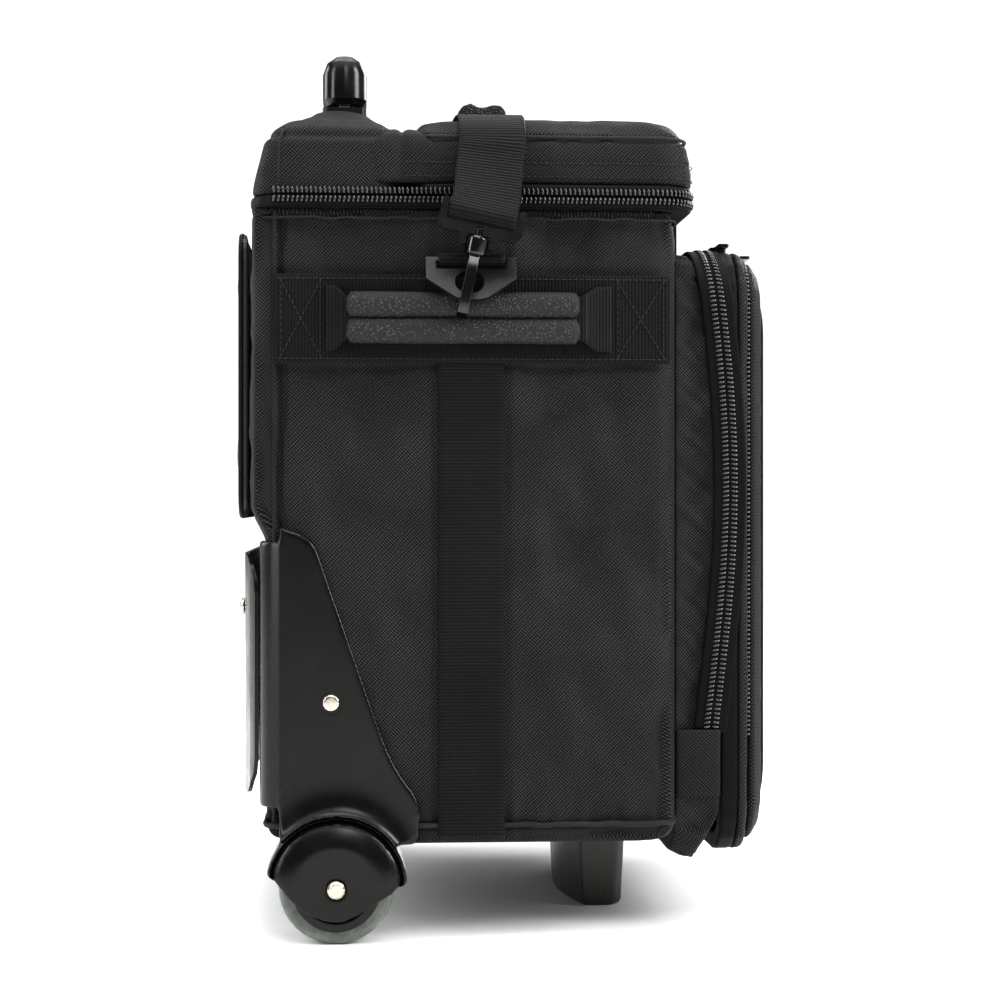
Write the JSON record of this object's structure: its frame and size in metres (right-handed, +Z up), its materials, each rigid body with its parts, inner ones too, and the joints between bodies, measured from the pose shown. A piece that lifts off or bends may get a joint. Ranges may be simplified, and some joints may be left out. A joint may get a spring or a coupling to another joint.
{
  "type": "bowling ball bag",
  "caption": "Wheeled bag for a bowling ball: zipped fabric body with hinged lid, shoe and accessory pockets, telescopic handle, clip-on carry strap, wheels and foot.",
  "frame": {"origin": "on the floor, under the middle of the bag's outer box", "axes": "+Z up, -Y the front with the shoe pocket, +Y the back with the trolley and wheels, +X across the width to the bag's right"},
  "size_m": [0.3944, 0.3124, 0.5154],
  "materials": {
    "shell_fabric": "matt black coated twill polyester",
    "smooth_fabric": "satin charcoal plain fabric",
    "webbing": "ribbed black webbing",
    "grip_rubber": "pebbled black",
    "housing_plastic": "satin charcoal",
    "gloss_plastic": "semi-gloss black",
    "zip_coil": "glossy black coil on matt tape",
    "nickel": "warm bright nickel",
    "tube_aluminium": "satin anodised",
    "tyre": "smooth green-grey polyurethane",
    "foam": "matt foam block with a cloth cover",
    "board": "stiff base board"
  },
  "bodies": {
    "root": {"body_shell": "shell_fabric", "base_board": "board", "ball_cradle": "foam", "rear_top": "shell_fabric", "main_zip_lower": "zip_coil", "trolley_bezel": "gloss_plastic", "back_plate": "housing_plastic", "back_sleeve": "smooth_fabric", "front_foot": "housing_plastic", "shoe_gusset": "smooth_fabric", "carry_strap": "webbing", "trolley_outer_right": "tube_aluminium", "trolley_outer_left": "tube_aluminium", "wheel_housing_right": "housing_plastic", "wheel_housing_left": "housing_plastic", "housing_rivet_right": "nickel", "housing_rivet_left": "nickel", "axle_right": "nickel", "axle_left": "nickel", "back_rivet_right": "nickel", "back_rivet_left": "nickel", "side_webbing_right": "webbing", "side_webbing_left": "webbing", "side_band_right": "webbing", "side_band_left": "webbing", "side_handle_right": "webbing", "side_handle_left": "webbing", "hook_frame_right": "housing_plastic", "hook_frame_left": "housing_plastic"},
    "lid": {"lid": "shell_fabric", "main_zip_upper": "zip_coil", "strap_grip": "grip_rubber"},
    "trolley_mid": {"trolley_mid_right": "tube_aluminium", "trolley_mid_left": "tube_aluminium"},
    "trolley_upper": {"trolley_upper_right": "tube_aluminium", "trolley_upper_left": "tube_aluminium", "trolley_grip": "gloss_plastic"},
    "grip_button": {"grip_button": "housing_plastic"},
    "shoe_door": {"shoe_zip": "zip_coil", "shoe_door": "shell_fabric"},
    "accessory_flap": {"accessory_flap": "shell_fabric"},
    "shoe_slider": {"shoe_slider": "gloss_plastic"},
    "accessory_slider": {"accessory_slider": "gloss_plastic"},
    "wheel_right": {"wheel_hub_right": "gloss_plastic", "tyre_right": "tyre"},
    "snap_hook_right": {"snap_hook_right": "nickel"},
    "hook_gate_right": {"hook_gate_right": "nickel"},
    "ring_plate_right": {"ring_plate_right": "housing_plastic"},
    "side_grip_right": {"side_grip_right": "grip_rubber"},
    "main_slider_right": {"main_slider_right": "gloss_plastic"},
    "main_pull_right": {"main_pull_right": "webbing"},
    "wheel_left": {"wheel_hub_left": "gloss_plastic", "tyre_left": "tyre"},
    "snap_hook_left": {"snap_hook_left": "nickel"},
    "hook_gate_left": {"hook_gate_left": "nickel"},
    "ring_plate_left": {"ring_plate_left": "housing_plastic"},
    "side_grip_left": {"side_grip_left": "grip_rubber"},
    "main_slider_left": {"main_slider_left": "gloss_plastic"},
    "main_pull_left": {"main_pull_left": "webbing"}
  },
  "joints": [
    {"name": "wheel_spin_right", "type": "hinge", "parent": "root", "child": "wheel_right", "pos_m": [0.163, 0.0978, 0.0325], "axis": [1, 0, 0], "continuous": true},
    {"name": "hook_swivel_right", "type": "hinge", "parent": "root", "child": "snap_hook_right", "pos_m": [0.1908, 0.0193, 0.394], "axis": [0, -0.2079, 0.9781], "range_deg": [-3, 3]},
    {"name": "hook_gate_right", "type": "hinge", "parent": "snap_hook_right", "child": "hook_gate_right", "pos_m": [0.1878, 0.02109, 0.38559], "axis": [0, -0.9781, -0.2079], "range_deg": [0, 2.5], "stiffness_Nm_per_rad": 0.01, "springref_deg": -5.73},
    {"name": "ring_hinge_right", "type": "hinge", "parent": "root", "child": "ring_plate_right", "pos_m": [0.1765, 0.0223, 0.385], "axis": [0, 1, 0], "range_deg": [-1, 1]},
    {"name": "side_grip_right", "type": "hinge", "parent": "root", "child": "side_grip_right", "pos_m": [0.1742, 0.0267, 0.352], "axis": [0, -1, 0], "range_deg": [0, 12], "deforming": ["side_handle_right"]},
    {"name": "main_zip_right", "type": "slide", "parent": "root", "child": "main_slider_right", "axis": [1, 0, 0], "range_m": [0, 0.11]},
    {"name": "main_pull_right", "type": "hinge", "parent": "main_slider_right", "child": "main_pull_right", "pos_m": [0.04, -0.1128, 0.423], "axis": [-1, 0, 0], "range_deg": [0, 160]},
    {"name": "wheel_spin_left", "type": "hinge", "parent": "root", "child": "wheel_left", "pos_m": [-0.163, 0.0978, 0.0325], "axis": [1, 0, 0], "continuous": true},
    {"name": "hook_swivel_left", "type": "hinge", "parent": "root", "child": "snap_hook_left", "pos_m": [-0.1908, 0.0193, 0.394], "axis": [0, -0.2079, 0.9781], "range_deg": [-3, 3]},
    {"name": "hook_gate_left", "type": "hinge", "parent": "snap_hook_left", "child": "hook_gate_left", "pos_m": [-0.1878, 0.02109, 0.38559], "axis": [0, 0.9781, 0.2079], "range_deg": [0, 2.5], "stiffness_Nm_per_rad": 0.01, "springref_deg": -5.73},
    {"name": "ring_hinge_left", "type": "hinge", "parent": "root", "child": "ring_plate_left", "pos_m": [-0.1765, 0.0223, 0.385], "axis": [0, 1, 0], "range_deg": [-1, 1]},
    {"name": "side_grip_left", "type": "hinge", "parent": "root", "child": "side_grip_left", "pos_m": [-0.1742, 0.0267, 0.352], "axis": [0, 1, 0], "range_deg": [0, 12], "deforming": ["side_handle_left"]},
    {"name": "main_zip_left", "type": "slide", "parent": "root", "child": "main_slider_left", "axis": [-1, 0, 0], "range_m": [0, 0.11]},
    {"name": "main_pull_left", "type": "hinge", "parent": "main_slider_left", "child": "main_pull_left", "pos_m": [-0.04, -0.1128, 0.423], "axis": [-1, 0, 0], "range_deg": [0, 160]},
    {"name": "lid_hinge", "type": "hinge", "parent": "root", "child": "lid", "pos_m": [0, 0.0608, 0.457], "axis": [-1, 0, 0], "range_deg": [0, 65], "deforming": ["carry_strap"]},
    {"name": "trolley_stage_1", "type": "slide", "parent": "root", "child": "trolley_mid", "axis": [0, 0, 1], "range_m": [0, 0.24]},
    {"name": "trolley_stage_2", "type": "slide", "parent": "trolley_mid", "child": "trolley_upper", "axis": [0, 0, 1], "range_m": [0, 0.24]},
    {"name": "release_button", "type": "slide", "parent": "trolley_upper", "child": "grip_button", "axis": [0, 0, -1], "range_m": [0, 0.003], "stiffness_N_per_m": 300, "springref_m": -0.002},
    {"name": "shoe_door_hinge", "type": "hinge", "parent": "root", "child": "shoe_door", "pos_m": [0, -0.12385, 0.052], "axis": [1, 0, 0], "range_deg": [0, 55]},
    {"name": "accessory_flap_hinge", "type": "hinge", "parent": "shoe_door", "child": "accessory_flap", "pos_m": [0, -0.14035, 0.058], "axis": [1, 0, 0], "range_deg": [0, 30]},
    {"name": "shoe_zip_slider", "type": "slide", "parent": "root", "child": "shoe_slider", "axis": [1, 0, 0], "range_m": [0, 0.21]},
    {"name": "accessory_zip_slider", "type": "slide", "parent": "shoe_door", "child": "accessory_slider", "axis": [1, 0, 0], "range_m": [0, 0.19]}
  ]
}
